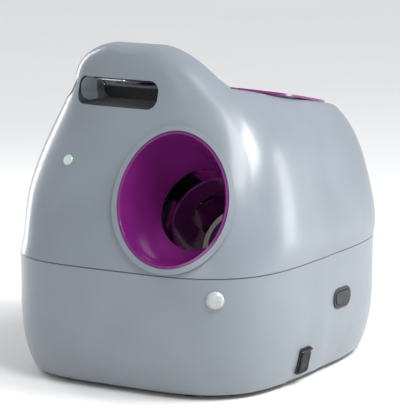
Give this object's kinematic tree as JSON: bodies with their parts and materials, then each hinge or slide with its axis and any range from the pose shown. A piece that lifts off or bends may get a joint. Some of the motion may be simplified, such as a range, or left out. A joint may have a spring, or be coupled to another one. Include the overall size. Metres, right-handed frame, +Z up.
{
  "type": "automatic dog ball launcher",
  "caption": "Tabletop machine that drops a ball from a top hopper into a tilting barrel and throws it out of a flared front port with a spring-driven striker.",
  "frame": {"origin": "middle of the base, on the surface that the feet stand on, at the centre foot", "axes": "+Z up, -Y to the front with the launch port, -X to the side with the range knob"},
  "size_m": [0.2845, 0.3059, 0.291],
  "materials": {
    "body_grey": "satin moulded plastic",
    "port_purple": "satin moulded plastic",
    "knob_lime": "satin moulded plastic",
    "dark_plastic": "fine texture",
    "frame_plastic": "moulded",
    "gear_plastic": "natural nylon",
    "steel": "turned or drawn",
    "pad_purple": "matt, moulded",
    "spring_steel": "drawn wire",
    "zinc_steel": "zinc plated",
    "nickel": "nickel plated",
    "soft_rubber": "matt",
    "board_green": "solder mask",
    "component_black": "moulded",
    "cell_jacket": "printed film, plain",
    "lens_white": "translucent",
    "light_lens": "translucent"
  },
  "bodies": {
    "housing": {"upper_shell": "body_grey", "lower_shell": "body_grey", "hopper_liner": "port_purple", "port_funnel": "port_purple", "handle_grip": "soft_rubber", "barrel_frame": "frame_plastic", "frame_fasteners": "zinc_steel", "pivot_pins": "steel", "pivot_washers": "gear_plastic", "knob_bush": "gear_plastic", "shaft_bracket": "frame_plastic", "dial_plate": "dark_plastic", "battery_box": "frame_plastic", "battery_springs": "nickel", "battery_contacts": "nickel", "rubber_feet": "soft_rubber", "case_screws": "zinc_steel", "jack_frame": "dark_plastic", "cover_pin": "steel", "power_socket": "component_black", "button_bezel": "dark_plastic", "button_switch": "component_black", "control_board": "board_green", "board_parts": "component_black", "board_screws": "zinc_steel", "sensor_lens": "lens_white", "sensor_unit": "board_green", "status_light": "light_lens", "speaker_grille": "dark_plastic", "speaker": "component_black", "ball_sensors": "component_black", "cell_1": "cell_jacket", "cell_2": "cell_jacket", "cell_3": "cell_jacket", "cell_4": "cell_jacket", "cell_5": "cell_jacket", "cell_6": "cell_jacket"},
    "barrel": {"launch_barrel": "port_purple", "idler_pin": "steel", "motor": "zinc_steel", "gearbox_plate": "frame_plastic", "gearbox_posts": "zinc_steel", "gearbox_screws": "steel", "launch_spring": "spring_steel"},
    "striker": {"striker": "gear_plastic", "striker_pad": "pad_purple"},
    "drive": {"drive_shaft": "steel", "sector_gear": "gear_plastic", "drive_wheel": "gear_plastic"},
    "idler": {"idler_gear": "gear_plastic"},
    "motor_rotor": {"motor_pinion": "steel"},
    "knob": {"knob": "knob_lime", "knob_pointer": "component_black", "knob_shaft": "gear_plastic"},
    "battery_door": {"battery_door": "body_grey"},
    "jack_cover": {"jack_cover": "soft_rubber"},
    "power_button": {"power_button": "dark_plastic"}
  },
  "joints": [
    {"name": "barrel_tilt", "type": "hinge", "parent": "housing", "child": "barrel", "pos_m": [0.046, -0.052, 0.138], "axis": [-1, 0, 0], "range_deg": [-7, 7]},
    {"name": "knob_turn", "type": "hinge", "parent": "housing", "child": "knob", "pos_m": [-0.14, 0.05986, 0.126], "axis": [-1, 0, 0], "range_deg": [-68.1, 68.1]},
    {"name": "drive_turn", "type": "hinge", "parent": "barrel", "child": "drive", "pos_m": [0.046, -0.00074, 0.0417], "axis": [-1, 0, 0], "range_deg": [0, 133.7]},
    {"name": "striker_slide", "type": "slide", "parent": "barrel", "child": "striker", "axis": [0, 0.848, -0.5299], "range_m": [0, 0.042], "deforming": ["launch_spring"]},
    {"name": "idler_turn", "type": "hinge", "parent": "barrel", "child": "idler", "pos_m": [0, 0.02222, 0.05391], "axis": [-1, 0, 0], "range_deg": [-446, 0]},
    {"name": "motor_turn", "type": "hinge", "parent": "barrel", "child": "motor_rotor", "pos_m": [0, 0.03599, 0.07596], "axis": [-1, 0, 0], "range_deg": [0, 1485]},
    {"name": "battery_door", "type": "hinge", "parent": "housing", "child": "battery_door", "pos_m": [-0.0884, 0, 0.0055], "axis": [0, 1, 0], "range_deg": [0, 95]},
    {"name": "jack_cover", "type": "hinge", "parent": "housing", "child": "jack_cover", "pos_m": [0.13048, -0.04, 0.03107], "axis": [0, -1, 0], "range_deg": [0, 110]},
    {"name": "power_button", "type": "slide", "parent": "housing", "child": "power_button", "axis": [-1, 0, 0], "range_m": [0, 0.002], "stiffness_N_per_m": 400, "springref_m": -0.0005}
  ],
  "couplings": [
    {"joint": "knob_turn", "follows": "barrel_tilt", "ratio": -9.7143},
    {"joint": "drive_turn", "follows": "striker_slide", "rad_per_m": 55.556},
    {"joint": "idler_turn", "follows": "striker_slide", "rad_per_m": -185.19},
    {"joint": "motor_turn", "follows": "striker_slide", "rad_per_m": 617.28}
  ]
}
